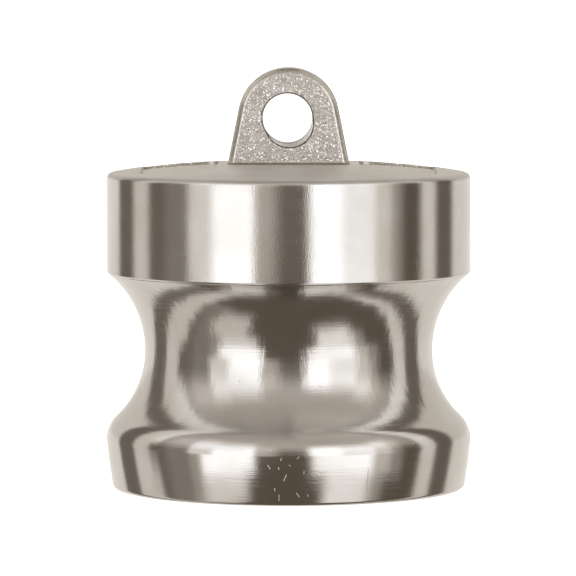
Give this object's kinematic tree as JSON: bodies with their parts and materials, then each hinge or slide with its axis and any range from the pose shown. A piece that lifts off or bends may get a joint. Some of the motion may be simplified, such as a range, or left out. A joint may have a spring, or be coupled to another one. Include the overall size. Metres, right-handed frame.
{
  "type": "cam-and-groove dust plug",
  "caption": "Turned stainless plug with a rounded cam groove, a plain head, a hollow nose and a pierced lug on top, for closing a cam-lever hose coupler.",
  "frame": {"origin": "centre of the nose's end face, the ring that seals on the coupler's gasket", "axes": "+Z along the plug's turned axis, from the nose to the lug; +X across the lug's width; +Y along the axis of the hole in the lug"},
  "size_m": [0.063, 0.063, 0.0726],
  "materials": {
    "stainless_steel": "fine-turned, semi-bright outside; shot-blasted as-cast grain on the lug, in the two top pockets and in the hollow"
  },
  "bodies": {
    "root": {"plug_body": "stainless_steel"}
  },
  "joints": []
}
